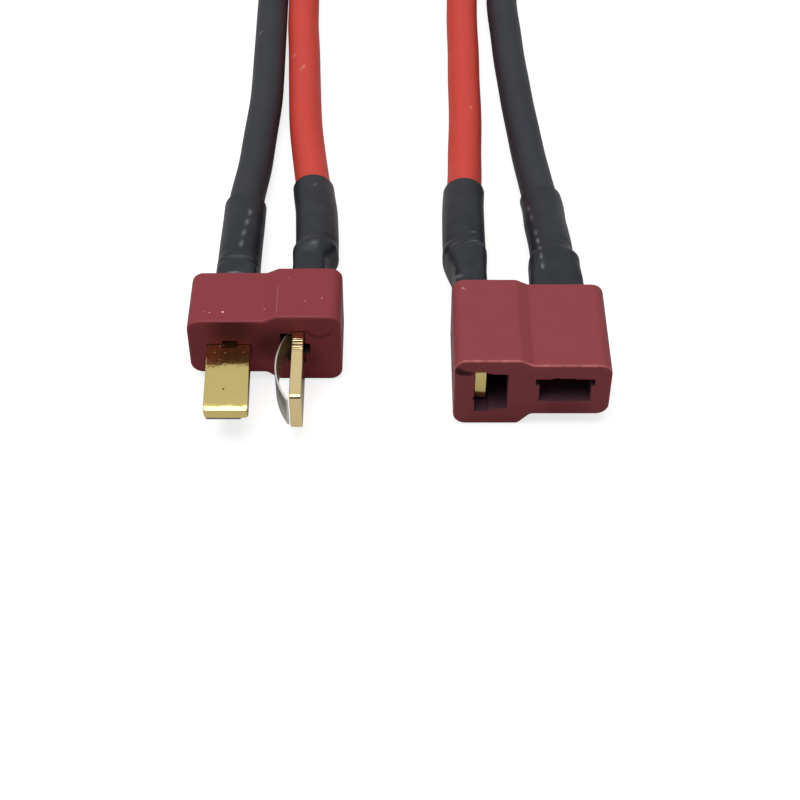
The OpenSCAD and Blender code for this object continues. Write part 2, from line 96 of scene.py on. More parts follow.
def gridMesh(name, grid, pathClosed=False, tint=None):
    # quads between neighbouring rows and columns of a grid in millimetres. Every row is a closed ring,
    # and flat caps close the two ends. U runs round the ring and V along it, both in millimetres.
    # Faces are turned over when the volume, the sum of a . (b x c) / 6 over triangles, is negative.
    rows, columns = grid.shape[:2]
    down = np.arange(rows if pathClosed else rows - 1)[:, None] + 0 * np.arange(columns)[None, :]
    across = 0 * down + np.arange(columns)[None, :]
    nextDown, nextAcross = (down + 1) % rows, (across + 1) % columns
    quads = np.stack([
        down * columns + across, down * columns + nextAcross,
        nextDown * columns + nextAcross, nextDown * columns + across
    ], -1).reshape(-1, 4)
    around = np.linalg.norm(np.roll(grid, -1, 1) - grid, axis=2).mean(0)
    u = np.concatenate([[0], np.cumsum(around)])
    step = np.linalg.norm(np.roll(grid, -1, 0) - grid, axis=2).mean(1)
    v = np.concatenate([[0], np.cumsum(step)])
    corners = np.stack([
        np.stack([u[across], v[down]], -1), np.stack([u[across + 1], v[down]], -1),
        np.stack([u[across + 1], v[down + 1]], -1), np.stack([u[across], v[down + 1]], -1)
    ], 2).reshape(-1, 4, 2)
    points = grid.reshape(-1, 3)
    centred = points - points.mean(0)
    a, b, c, d = (centred[quads[:, i]] for i in range(4))
    volume = (a * (np.cross(b, c) + np.cross(c, d))).sum() / 6
    ends = [] if pathClosed else [range(columns)[::-1], range((rows - 1) * columns, rows * columns)]
    caps = [list(end) for end in ends]
    if volume < 0:
        quads, corners = quads[:, ::-1], corners[:, ::-1]
        caps = [cap[::-1] for cap in caps]
    mesh = bpy.data.meshes.new(name)
    mesh.from_pydata((points * mm).tolist(), [], quads.tolist() + caps)
    uv = np.zeros((len(mesh.loops), 2))
    uv[:4 * len(quads)] = corners.reshape(-1, 2)
    mesh.uv_layers.new(name="UVMap").data.foreach_set("uv", uv.astype(np.float32).ravel())
    if tint is not None:
        layer = mesh.attributes.new("tint", "FLOAT", "POINT")
        layer.data.foreach_set("value", tint.astype(np.float32).ravel())
    mesh.shade_smooth()
    mesh.set_sharp_from_angle(angle=math.radians(40))
    return mesh


def place(name, mesh, material, slot, node, weighted=False):
    # one piece of the scene, which rides the root body and stands for its CAD node
    mesh.materials.clear()
    mesh.materials.append(material)
    piece = bpy.data.objects.new(name, mesh)
    scene.collection.objects.link(piece)
    if weighted:
        piece.modifiers.new("flatNormals", "WEIGHTED_NORMAL").keep_sharp = True
    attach(piece, "root")
    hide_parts(node)
    return piece


def spline(points, perSpan):
    # natural cubic through the points against chord length: its second derivatives m solve
    # h0 m0 + 2 (h0 + h1) m1 + h1 m2 = 6 (slope1 - slope0), and each span blends its two ends
    p = np.array(points, float)
    h = np.linalg.norm(np.diff(p, axis=0), axis=1)
    count = len(p)
    inner = np.arange(1, count - 1)
    system = np.eye(count)
    system[inner, inner - 1] = h[:-1]
    system[inner, inner] = 2 * (h[:-1] + h[1:])
    system[inner, inner + 1] = h[1:]
    slope = np.diff(p, axis=0) / h[:, None]
    right = np.zeros_like(p)
    right[1:-1] = 6 * np.diff(slope, axis=0)
    m = np.linalg.solve(system, right)
    u = (np.arange(perSpan) / perSpan)[None, :, None]
    a, b = p[:-1, None], p[1:, None]
    curve = a * (1 - u) + b * u + (h ** 2 / 6)[:, None, None] * (
        ((1 - u) ** 3 - (1 - u)) * m[:-1, None] + (u ** 3 - u) * m[1:, None])
    return np.concatenate([curve.reshape(-1, 3), p[-1:]])


def smooth(low, high, value):
    # eased step from 0 at low to 1 at high: t^2 (3 - 2 t)
    t = np.clip((value - low) / (high - low), 0, 1)
    return t * t * (3 - 2 * t)


def spots(points, marks):
    # sum of amount * exp(-(p / a)^2 - (q / b)^2) over marks (x, y, a, b, turn, amount) in plan, where
    # p and q run along and across the mark, which is turned by turn degrees from the X axis
    total = np.zeros(points.shape[:-1])
    for x, y, a, b, turn, amount in marks:
        c, s = math.cos(math.radians(turn)), math.sin(math.radians(turn))
        dx, dy = points[..., 0] - x, points[..., 1] - y
        total += amount * np.exp(-((dx * c + dy * s) / a) ** 2 - ((dy * c - dx * s) / b) ** 2)
    return total


def siliconeRubber(name, colour, shade, speck, sheen):
    # silicone wire insulation, extruded and cured: soft and dull, with faint streaks along it and
    # dust that clings to it; the tint attribute holds the larger specks
    material, tree, shader = newMaterial(name, colour, 0.5, specular=sheen)
    uv = addNode(tree, "UVMap", uv_map="UVMap")
    where = addNode(tree, "TexCoord").outputs["Object"]
    along = addNode(tree, "Mapping", {"Vector": uv.outputs["UV"], "Scale": (1.4, 0.12, 1)})
    streak = addNode(tree, "TexNoise", {"Vector": along.outputs["Vector"], "Scale": 1.0, "Detail": 3.0})
    cloud = addNode(tree, "TexNoise", {"Vector": where, "Scale": 260.0, "Detail": 4.0})  # patches 4 mm across
    # small grains, one in 2.4 mm at most, and few of those shown
    dust = addNode(tree, "TexVoronoi", {"Vector": where, "Scale": 420.0, "Randomness": 1.0})
    dustSize = addNode(tree, "ValToRGB", {"Fac": dust.outputs["Distance"]}, stops=[
        (0.0, 0.8), (0.03, 0.5), (0.05, 0.0)
    ])
    dustSome = addNode(tree, "Math", {0: dust.outputs["Color"], 1: 0.85}, operation="GREATER_THAN")
    dustMask = addNode(tree, "Math", {
        0: dustSize.outputs["Color"], 1: dustSome.outputs[0]
    }, operation="MULTIPLY")
    tint = addNode(tree, "Attribute", attribute_name="tint")
    specks = addNode(tree, "Math", {0: dustMask.outputs[0], 1: tint.outputs["Fac"]}, operation="MAXIMUM")
    body = addNode(tree, "Mix", {
        "Factor": cloud.outputs["Fac"], "A": linear(colour), "B": linear(shade)
    }, data_type="RGBA")
    streaked = addNode(tree, "Mix", {
        "Factor": 0.12, "A": body.outputs["Result"], "B": streak.outputs["Color"]
    }, data_type="RGBA", blend_type="SOFT_LIGHT")
    dusty = addNode(tree, "Mix", {
        "Factor": specks.outputs[0], "A": streaked.outputs["Result"], "B": linear(speck)
    }, data_type="RGBA")
    tree.links.new(dusty.outputs["Result"], shader.inputs["Base Color"])
    rough = addNode(tree, "MapRange", {"Value": cloud.outputs["Fac"], "To Min": 0.44, "To Max": 0.58})
    tree.links.new(rough.outputs["Result"], shader.inputs["Roughness"])
    fine = addNode(tree, "TexNoise", {"Vector": where, "Scale": 5000.0, "Detail": 3.0})  # 0.2 mm grain
    bump = addNode(tree, "Bump", {"Height": fine.outputs["Fac"], "Strength": 0.12, "Distance": 0.00003})
    tree.links.new(bump.outputs["Normal"], shader.inputs["Normal"])
    return material


print("wires")
wires = {
    "diameter": 4.0,
    "sides": 56,
    "perSpan": 12,  # points of the smooth path from one given point to the next
    "endShare": 0.7,  # share of the radius at both ends, inside the sleeves
    "endEase": (-0.2, 3.4),  # distance from the end over which the wire gets its full radius
    "black": [
        (-17.3, 3.5, 3.25), (-17.3, 6, 3.25), (-17.3, 9.5, 3.05), (-17.3, 13, 2.75), (-17.3, 16.5, 2.5),
        (-17.1, 20, 2.2), (-16.8, 23.5, 2), (-16.6, 27.5, 2), (-16.4, 32, 2), (-16.2, 36.5, 2),
        (-16.2, 41, 2), (-16.3, 47, 2), (-16.4, 53, 2), (-16.5, 59, 2), (-16.4, 64.5, 2),
        (-15.2, 70.3, 2), (-12, 75.2, 2), (-7.2, 78.4, 2), (-1.4, 79.4, 2), (4.4, 78.4, 2),
        (9.3, 75.2, 2), (12.6, 70.3, 2), (13.9, 64.5, 2), (13.8, 59, 2), (14, 52, 2),
        (14.2, 46, 2), (14.5, 41, 2), (14.8, 36, 2), (15.2, 31, 2), (15.6, 26, 2),
        (16, 22, 2.1), (16.3, 18.5, 2.45), (16.6, 15, 2.95), (16.8, 11.5, 3.55), (17, 8, 4.15),
        (17.1, 4.5, 4.5), (17.1, 1.9, 4.5)
    ],
    "red": [
        (-8.85, 3.5, 4.65), (-8.85, 6.5, 4.65), (-9, 10, 4.35), (-9.2, 13.5, 3.8), (-9.5, 17, 3.15),
        (-9.8, 20, 2.6), (-10.2, 23.5, 2.15), (-10.6, 27, 2), (-11.1, 32, 2), (-11.4, 37, 2),
        (-11.7, 43, 2), (-12, 49, 2), (-12.3, 54, 2), (-12.4, 59, 2.4), (-12.6, 63, 3.4),
        (-12.7, 67.5, 4.9), (-12.5, 72, 6), (-11.4, 76.2, 6.3), (-8.7, 79.8, 6), (-5, 81.7, 5.6),
        (-2, 82.1, 5.5), (1, 81.7, 5.6), (4.7, 79.8, 6), (7.4, 76.2, 6.3), (8.5, 72, 5.7),
        (8.7, 67.5, 4.4), (8.6, 63, 3), (8.5, 58.5, 2.2), (8.4, 54, 2), (8.4, 47, 2),
        (8.3, 41, 2), (8.3, 36, 2), (8.2, 31, 2), (8, 26, 2), (7.9, 22, 2.2),
        (7.7, 18.5, 2.65), (7.5, 15, 3.25), (7.4, 11.5, 3.95), (7.35, 8, 4.4), (7.35, 4.5, 4.55),
        (7.35, 1.9, 4.55)
    ],
    "specks": [  # x, y, half length, half width, turn, strength
        (-13.1, 44.3, 0.25, 0.12, 20, 0.6), (-11.8, 41.3, 0.4, 0.13, 60, 0.6),
        (-17.5, 49.6, 0.25, 0.15, 0, 0.5), (8.9, 33.0, 0.15, 0.12, 30, 0.4)
    ],
}
silicones = {
    "red": {"colour": "#CA4134", "shade": "#C03B30", "speck": "#E9B9B0", "sheen": 0.3},
    "black": {"colour": "#2A2C33", "shade": "#23252C", "speck": "#9A9EA2", "sheen": 0.35},
}


def tube(path, shape):
    # circles square to the path: centre + r (cos a side + sin a up), starting at the underside, where
    # side is the path's direction crossed with the vertical, and r eases up from its end share
    along = np.gradient(path, axis=0)
    along /= np.linalg.norm(along, axis=1, keepdims=True)
    side = np.cross(along, [0, 0, 1])
    side /= np.linalg.norm(side, axis=1, keepdims=True)
    up = np.cross(side, along)
    a = np.radians(-90) + 2 * np.pi * np.arange(shape["sides"]) / shape["sides"]
    ring = np.cos(a)[None, :, None] * side[:, None] + np.sin(a)[None, :, None] * up[:, None]
    far = np.minimum(np.linalg.norm(path - path[0], axis=1), np.linalg.norm(path - path[-1], axis=1))
    share = shape["endShare"] + (1 - shape["endShare"]) * smooth(*shape["endEase"], far)
    return path[:, None] + shape["diameter"] / 2 * share[:, None, None] * ring


paths = {colour: spline(wires[colour], wires["perSpan"]) for colour in silicones}
for colour, look in silicones.items():
    path = paths[colour]
    grid = tube(path, wires)
    upper = smooth(-0.2, 0.6, (grid[..., 2] - path[:, None, 2]) / (wires["diameter"] / 2))
    mesh = gridMesh(colour + "SiliconeWire", grid, tint=spots(grid, wires["specks"]) * upper)
    silicone = siliconeRubber(colour + "SiliconeRubber", **look)
    wire = place(mesh.name, mesh, silicone, colour + "_silicone", colour + "_wire")


def shrunkPolyolefin(name):
    # heat-shrink tube, an extruded polyolefin shrunk by hot air: dull satin black; the tint
    # attribute holds the faint pale dashes, scuffs and creases
    material, tree, shader = newMaterial(name, "#21242A", 0.42, specular=0.32)
    where = addNode(tree, "TexCoord").outputs["Object"]
    cloud = addNode(tree, "TexNoise", {"Vector": where, "Scale": 330.0, "Detail": 5.0})  # patches 3 mm across
    colour = addNode(tree, "ValToRGB", {"Fac": cloud.outputs["Fac"]}, stops=[
        (0.35, "#191C22"), (0.65, "#23262D")
    ])
    fine = addNode(tree, "TexNoise", {"Vector": where, "Scale": 2500.0, "Detail": 4.0})  # 0.4 mm orange peel
    tint = addNode(tree, "Attribute", attribute_name="tint")
    paleness = addNode(tree, "Math", {0: tint.outputs["Fac"], 1: fine.outputs["Fac"]}, operation="MULTIPLY")
    marked = addNode(tree, "Mix", {
        "Factor": paleness.outputs[0], "A": colour.outputs["Color"], "B": linear("#B8BCC2")
    }, data_type="RGBA")
    tree.links.new(marked.outputs["Result"], shader.inputs["Base Color"])
    bump = addNode(tree, "Bump", {"Height": fine.outputs["Fac"], "Strength": 0.25, "Distance": 0.00004})
    tree.links.new(bump.outputs["Normal"], shader.inputs["Normal"])
    return material


print("sleeves")
heatShrink = shrunkPolyolefin("shrunkPolyolefin")
sleeveShape = {
    "wall": 0.25, "gap": 0.12, "rows": 240, "sides": 128,
    "tab": 5.0, "strands": 1.3, "solder": 0.15,  # the joint inside: its tab's length, and what lies on it
    "wireFrom": 0.4,  # from the tab's end to where the sleeve may follow the wire
    "covered": 100,  # points of a wire's path that its sleeve can reach
    "leanEnd": (1, 6),  # distance from the far end over which the lean begins
}
# overTab and overEnd: margin off the tab, margin along it, squareness. Swell: from where to where the
# sleeve widens over the wire's end and then rounds off on the wire, from the tab's end. Lean: how far it
# sits to one side of the wire, up to its last stretch. Dents and marks lie in plan:
# x, y, half length, half width, turn, amount.
plugTab = {"tabThick": 1.2, "tabWide": 3.2, "rear": -1.76}
socketTab = {"tabThick": 1.1, "tabWide": 4.2, "rear": -3.5}
sleeves = [
    {
        **plugTab, "name": "plugBlackSleeve", "node": "male_negative_sleeve", "path": paths["black"],
        "tabAt": (-17.3, 4.5), "toward": (0, -1), "length": 17.3, "lean": 0.0,
        "overTab": (0.275, 0.4, 4.0), "overEnd": (0.12, 0.12, 2.5), "swell": (-0.7, 0.2, 0.7, 2.0),
        "dents": [(-17.0, 3.4, 2.2, 0.4, 0, 0.1), (-17.6, 4.6, 1.6, 0.5, 8, -0.05),
                  (-16.0, 1.3, 0.9, 0.6, 30, 0.08)],
        "marks": [(-17.5, 1.2, 0.5, 0.12, 4, 0.8), (-16.6, 1.0, 0.35, 0.12, -4, 0.7),
                  (-17.0, 5.9, 0.18, 0.5, -6, 0.5), (-16.85, 7.9, 0.18, 0.5, -6, 0.5),
                  (-16.65, 9.9, 0.18, 0.5, -6, 0.5), (-16.45, 11.9, 0.18, 0.5, -6, 0.45),
                  (-17.0, 3.9, 2.0, 0.12, 0, 0.12)],
    },
    {
        **plugTab, "name": "plugRedSleeve", "node": "male_positive_sleeve", "path": paths["red"],
        "tabAt": (-10.1, 4.65), "toward": (1, 0), "length": 20.1, "lean": 0.1,
        "overTab": (0.275, 0.45, 4.0), "overEnd": (0.28, 0.35, 3.0), "swell": (-0.6, 1.8, 1.3, 2.8),
        "dents": [(-7.4, 4.6, 1.2, 1.0, 50, 0.26), (-9.6, 5.1, 1.6, 0.32, 8, 0.1),
                  (-8.9, 4.2, 0.5, 0.4, 0, -0.07), (-7.9, 6.4, 1.0, 0.45, -20, -0.07),
                  (-10.4, 3.2, 0.8, 0.5, -40, 0.1)],
        "marks": [(-8.85, 4.3, 0.4, 0.3, 20, 0.35), (-9.8, 5.4, 1.0, 0.1, 8, 0.15),
                  (-9.3, 16.0, 0.25, 0.15, 40, 0.35)],
    },
    {
        **socketTab, "name": "socketBlackSleeve", "node": "female_negative_sleeve",
        "path": paths["black"][::-1], "tabAt": (17.0, 5.75), "toward": (0, -1), "length": 20.2, "lean": -0.2,
        "overTab": (0.275, 0.5, 4.0), "overEnd": (0.12, 0.42, 3.0), "swell": (-2.2, 1.0, 1.8, 3.2),
        "dents": [(18.6, 5.4, 0.9, 0.5, -30, 0.06), (15.6, 7.5, 0.6, 2.5, 5, 0.04)],
        "marks": [(15.5, 0.9, 0.13, 0.42, 2, 0.6), (15.45, 2.5, 0.13, 0.42, 2, 0.6),
                  (15.4, 4.1, 0.13, 0.42, 4, 0.6), (15.3, 5.7, 0.13, 0.42, 5, 0.6),
                  (15.2, 7.3, 0.13, 0.42, 6, 0.5), (14.95, 10.6, 0.12, 0.5, 8, 0.4),
                  (14.75, 12.8, 0.12, 0.5, 8, 0.4)],
    },
    {
        **socketTab, "name": "socketRedSleeve", "node": "female_positive_sleeve",
        "path": paths["red"][::-1], "tabAt": (8.55, 4.55), "toward": (-1, 0), "length": 21.4, "lean": 0.0,
        "overTab": (0.275, 0.3, 4.0), "overEnd": (0.2, 0.2, 3.0), "swell": (-0.9, 3.6, 2.8, 4.3),
        "dents": [(6.4, 4.2, 1.3, 0.4, 25, 0.18), (8.6, 4.6, 1.3, 0.32, 30, 0.12),
                  (7.4, 3.5, 0.5, 0.45, 0, -0.1), (6.5, -0.4, 0.8, 0.4, -35, 0.18),
                  (8.6, 1.2, 0.9, 0.6, 60, 0.08), (7.6, 7.0, 1.2, 0.5, 10, -0.04)],
        "marks": [(8.4, 4.9, 0.9, 0.1, 30, 0.3), (8.3, 6.6, 0.3, 0.1, 30, 0.45),
                  (6.5, -0.9, 0.45, 0.3, -20, 0.35)],
    },
]


def sleeveGrid(one, shape):
    # a rounded square over the solder tab that turns into a circle round the wire: each ring is a
    # superellipse, |x / a|^n + |z / b|^n = 1, whose centre, half sizes and n blend along the sleeve;
    # dents press its upper side towards the ring's centre
    s = np.linspace(0, one["length"], shape["rows"])
    tab, toward = np.array(one["tabAt"]), np.array(one["toward"])
    wrap = (one["tabThick"] + shape["strands"] + shape["solder"]) / 2
    lift = (one["tabThick"] + shape["strands"]) / 2
    wireR = wires["diameter"] / 2
    off, along, form = one["overTab"]
    tabCentre = tab + toward * (wrap - one["tabThick"] / 2)
    overTab = np.array([*tabCentre, wrap + off, one["tabWide"] / 2 + along, form])
    off, along, form = one["overEnd"]
    endWide = max(one["tabWide"] / 2, wireR)
    overEnd = np.array([*(tab + toward * lift), wireR + off, endWide + along, form])
    near = one["path"][:shape["covered"]]
    near = near[np.argsort(near[:, 1])]
    y = one["rear"] + np.maximum(s, shape["tab"] + shape["wireFrom"])
    late, early = one["length"] - np.array(shape["leanEnd"])
    wireX = np.interp(y, near[:, 1], near[:, 0]) + one["lean"] * smooth(late, early, s)
    wireZ = np.interp(y, near[:, 1], near[:, 2])
    r = np.full_like(s, wireR + shape["gap"])
    overWire = np.stack([wireX, wireZ, r, r, np.full_like(s, 2)], 1)
    swell = shape["tab"] + np.array(one["swell"])
    toEnd = smooth(swell[0], swell[1], s)[:, None]
    toWire = smooth(swell[2], swell[3], s)[:, None]
    c = (overTab * (1 - toEnd) + overEnd * toEnd) * (1 - toWire) + overWire * toWire
    a = 2 * np.pi * np.arange(shape["sides"]) / shape["sides"]
    power = 2 / c[:, 4:5]
    cosine = np.sign(np.cos(a)) * np.abs(np.cos(a)) ** power
    sine = np.sign(np.sin(a)) * np.abs(np.sin(a)) ** power

    def ring(wall, rows):
        # the rings of some rows, wall outside the inner face, with the dents pressed in
        alongTab = cosine[rows] * (c[rows, 3:4] + wall)
        offTab = sine[rows] * (c[rows, 2:3] + wall)
        x = c[rows, 0:1] + offTab * toward[0] + alongTab * toward[1]
        z = c[rows, 1:2] + offTab * toward[1] - alongTab * toward[0]
        points = np.stack([x, one["rear"] + s[rows][:, None] + 0 * x, z], -1)
        inward = np.stack([c[rows, 0:1] - x, 0 * x, c[rows, 1:2] - z], -1)
        size = np.linalg.norm(inward, axis=2, keepdims=True)
        upper = smooth(-0.3, 0.3, -inward[..., 2:] / size)
        return points + inward / size * upper * spots(points, one["dents"])[..., None]

    every = np.arange(shape["rows"])
    lip = []
    for turn in np.linspace(0, np.pi, 7)[1:-1]:
        rounding = ring(shape["wall"] / 2 * (1 + math.cos(turn)), [-1])
        lip.append(rounding + [0, shape["wall"] / 2 * math.sin(turn), 0])
    return np.concatenate([ring(shape["wall"], every), *lip, ring(0, every[::-1])])


for one in sleeves:
    grid = sleeveGrid(one, sleeveShape)
    upper = smooth(-0.2, 0.3, grid[..., 2] - grid[..., 2].mean(1, keepdims=True))
    mesh = gridMesh(one["name"], grid, pathClosed=True, tint=spots(grid, one["marks"]) * upper)
    place(one["name"], mesh, heatShrink, "black_heat_shrink", one["node"])


def rounded(corners, radius, inset, steps):
    # a closed outline, counterclockwise seen from the front, with every corner v turned into an arc:
    # centre = v - b r (u + w) / (1 + u . w), where u and w are the outward normals of the two sides,
    # and b is 1 on an outer corner and -1 on an inner one; the arc's radius is r - b inset
    v = np.array(corners, float)
    r = np.broadcast_to(radius, len(v)).astype(float)
    side = np.roll(v, -1, 0) - v
    side /= np.linalg.norm(side, axis=1, keepdims=True)
    w = np.stack([side[:, 1], -side[:, 0]], 1)
    u = np.roll(w, 1, 0)
    bend = np.arctan2(u[:, 0] * w[:, 1] - u[:, 1] * w[:, 0], (u * w).sum(1))
    b = np.sign(bend)
    centre = v - (b * r)[:, None] * (u + w) / (1 + (u * w).sum(1))[:, None]
    a = np.arctan2(u[:, 1], u[:, 0])[:, None] + bend[:, None] * np.linspace(0, 1, steps + 1)
    arc = np.stack([np.cos(a), np.sin(a)], -1) * (b * (r - b * inset))[:, None, None]
    return (centre[:, None] + arc).reshape(-1, 2)


def rings(rows, x, y, z):
    # a grid from rows of (distance behind y, outline); each outline counts from x and z
    return np.stack([np.stack([x + o[:, 0], np.full(len(o), y + d), z + o[:, 1]], 1) for d, o in rows])


def box(x0, x1, z0, z1):
    # the four corners of a rectangle, counterclockwise seen from the front
    return [(x0, z0), (x1, z0), (x1, z1), (x0, z1)]


print("housings")
# Both housings' stepped outline counts from the middle height: half its width, the thick half's lower
# and upper face, the width of the slanted step, and each corner's radius.
section = {
    "middle": 4.65, "half": 7.9, "low": -4.65, "high": 4.25, "run": 1.25,
    "radii": [1.3, 0.7, 0.7, 1.3, 1.3, 0.7, 0.7, 1.3],
    "pinMargin": 0.32,  # how far an ejector mark stays inside the outline
}
# thin: lower and upper face of the thin half. paleLines, faint pale lines on the top face: x, y from, y to,
# strength. paintedShade, dark patches of painted shade on the front, round the blades, low down, and along
# the lower rims of the ejector marks: x, z, size, strength. specks: x, y, z, size, strength. cuts: outline,
# corner radius, depth from, depth to, flare at the mouth. pins, the round ejector marks: x, z, radius,
# depth. The cuts and the pins count from x and the middle height, and everything else lies in the part's
# frame.
housings = {
    "plug": {
        "node": "male_housing", "x": -13.6, "front": -9.4, "depth": 7.65, "mirror": False, "edge": 0.3,
        "thin": (-3.65, 3.62), "colour": "#82343A", "pale": "#8A3A40", "paleness": 0.1,
        "paleLines": [(-12.25, -8.6, -4.6, 0.1)],
        "paintedShade": [
            (-16.8, 7.4, 3.4, 0.75), (-12.7, 5.0, 3.0, 0.55), (-9.5, 3.2, 2.5, 0.3), (-9.2, 6.85, 0.4, 0.4),
            (-8.85, 6.45, 0.4, 0.4), (-8.4, 6.2, 0.4, 0.4), (-7.9, 6.12, 0.4, 0.4), (-7.4, 6.22, 0.4, 0.4),
            (-6.95, 6.5, 0.35, 0.35)
        ],
        "specks": [
            (-19.8, -7.75, 8.2, 0.1, 0.7), (-19.6, -7.9, 8.2, 0.09, 0.7), (-19.4, -7.85, 8.2, 0.08, 0.5),
            (-19.15, -8.0, 8.2, 0.12, 0.8), (-17.8, -7.9, 8.2, 0.17, 1.0), (-13.55, -7.5, 8.2, 0.14, 0.8),
            (-7.7, -6.5, 8.9, 0.1, 0.6), (-9.4, -6.9, 8.9, 0.09, 0.4), (-11.2, -3.4, 8.9, 0.08, 0.3)
        ],
        "cuts": [
            (box(-5.995, -1.405, -0.8, 0.5), 0.05, 0, 9, 0.02),
            (box(-4.4, -2.77, 0.2, 0.95), 0.06, 0, 0.4, 0.02),
            (box(-5.65, -1.75, -2.5, -0.3), 0.1, 0, 4.5, 0.05),
            (box(2.85, 4.15, -2.3, 2.3), 0.05, 0, 9, 0.03),
            (box(1.65, 3.4, -1.95, 1.95), 0.1, 0, 4.5, 0.04),
            (box(3.9, 4.66, -0.75, 0.55), 0.06, 0, 2.5, 0.03)
        ],
        "pins": [(5.68, 3.0, 1.55, 0.05)],
    },
    "socket": {
        "node": "female_housing", "x": 13.6, "front": -15.8, "depth": 12.3, "mirror": True, "edge": 0.3,
        "thin": (-3.28, 3.6), "colour": "#863A3F", "pale": "#8E4246", "paleness": 0.55,
        "paleLines": [],
        "paintedShade": [
            (17.0, 1.6, 3.5, 0.3), (6.0, 7.72, 0.6, 0.9), (6.3, 7.48, 0.6, 0.95), (6.6, 7.34, 0.55, 0.95),
            (6.9, 7.27, 0.45, 0.9), (7.2, 7.25, 0.4, 0.85), (7.5, 7.28, 0.35, 0.8)
        ],
        "specks": [(6.8, -4.95, 8.9, 0.13, 0.6), (7.0, -5.15, 8.9, 0.08, 0.5), (12.5, -15.2, 8.6, 0.12, 0.4)],
        "cuts": [
            ([
                (0.7, -1.26), (5.88, -1.26), (5.88, 0.9), (6.24, 0.9), (6.24, 1.8), (4.3, 1.8), (4.15, 1.92),
                (3.1, 1.88), (2.6, 1.95), (1.98, 1.92), (1.9, 1.8), (0.3, 1.8), (0.3, 0.95), (0.7, 0.9)
            ], 0.05, 0, 3, 0.02),
            (box(0.82, 5.98, -1.32, 1.1), 0.05, 2.5, 10, 0),
            (box(0.86, 5.94, 0.52, 1.68), 0.05, 2.5, 14, 0),
            ([
                (-5.75, -2.75), (-4.35, -2.75), (-4.3, -2.4), (-2.48, -2.35), (-2.48, 2.48), (-4.0, 2.48),
                (-4.2, 2.62), (-4.4, 2.5), (-4.6, 2.75), (-5.75, 2.75), (-5.82, 0.3), (-5.98, 0.1),
                (-5.8, -0.1), (-5.84, -0.7), (-6.05, -0.95), (-5.82, -1.15), (-5.78, -1.6)
            ], 0.03, 0, 3, 0.02),
            (box(-5.1, -2.42, -2.3, 2.3), 0.05, 2.5, 10, 0),
            (box(-5.63, -4.47, -2.63, 2.43), 0.05, 2.5, 14, 0)
        ],
        "pins": [(-6.95, 3.9, 1.35, 0.04)],
    },
}
# painted shade: the walls inside the openings get a darker, greyer colour than the nylon round them, for the
# shade in the slots
inside = newMaterial("glassFilledNylonInSlots", "#5A3C48", 0.7, specular=0.1)[0]  # rough and unpolished


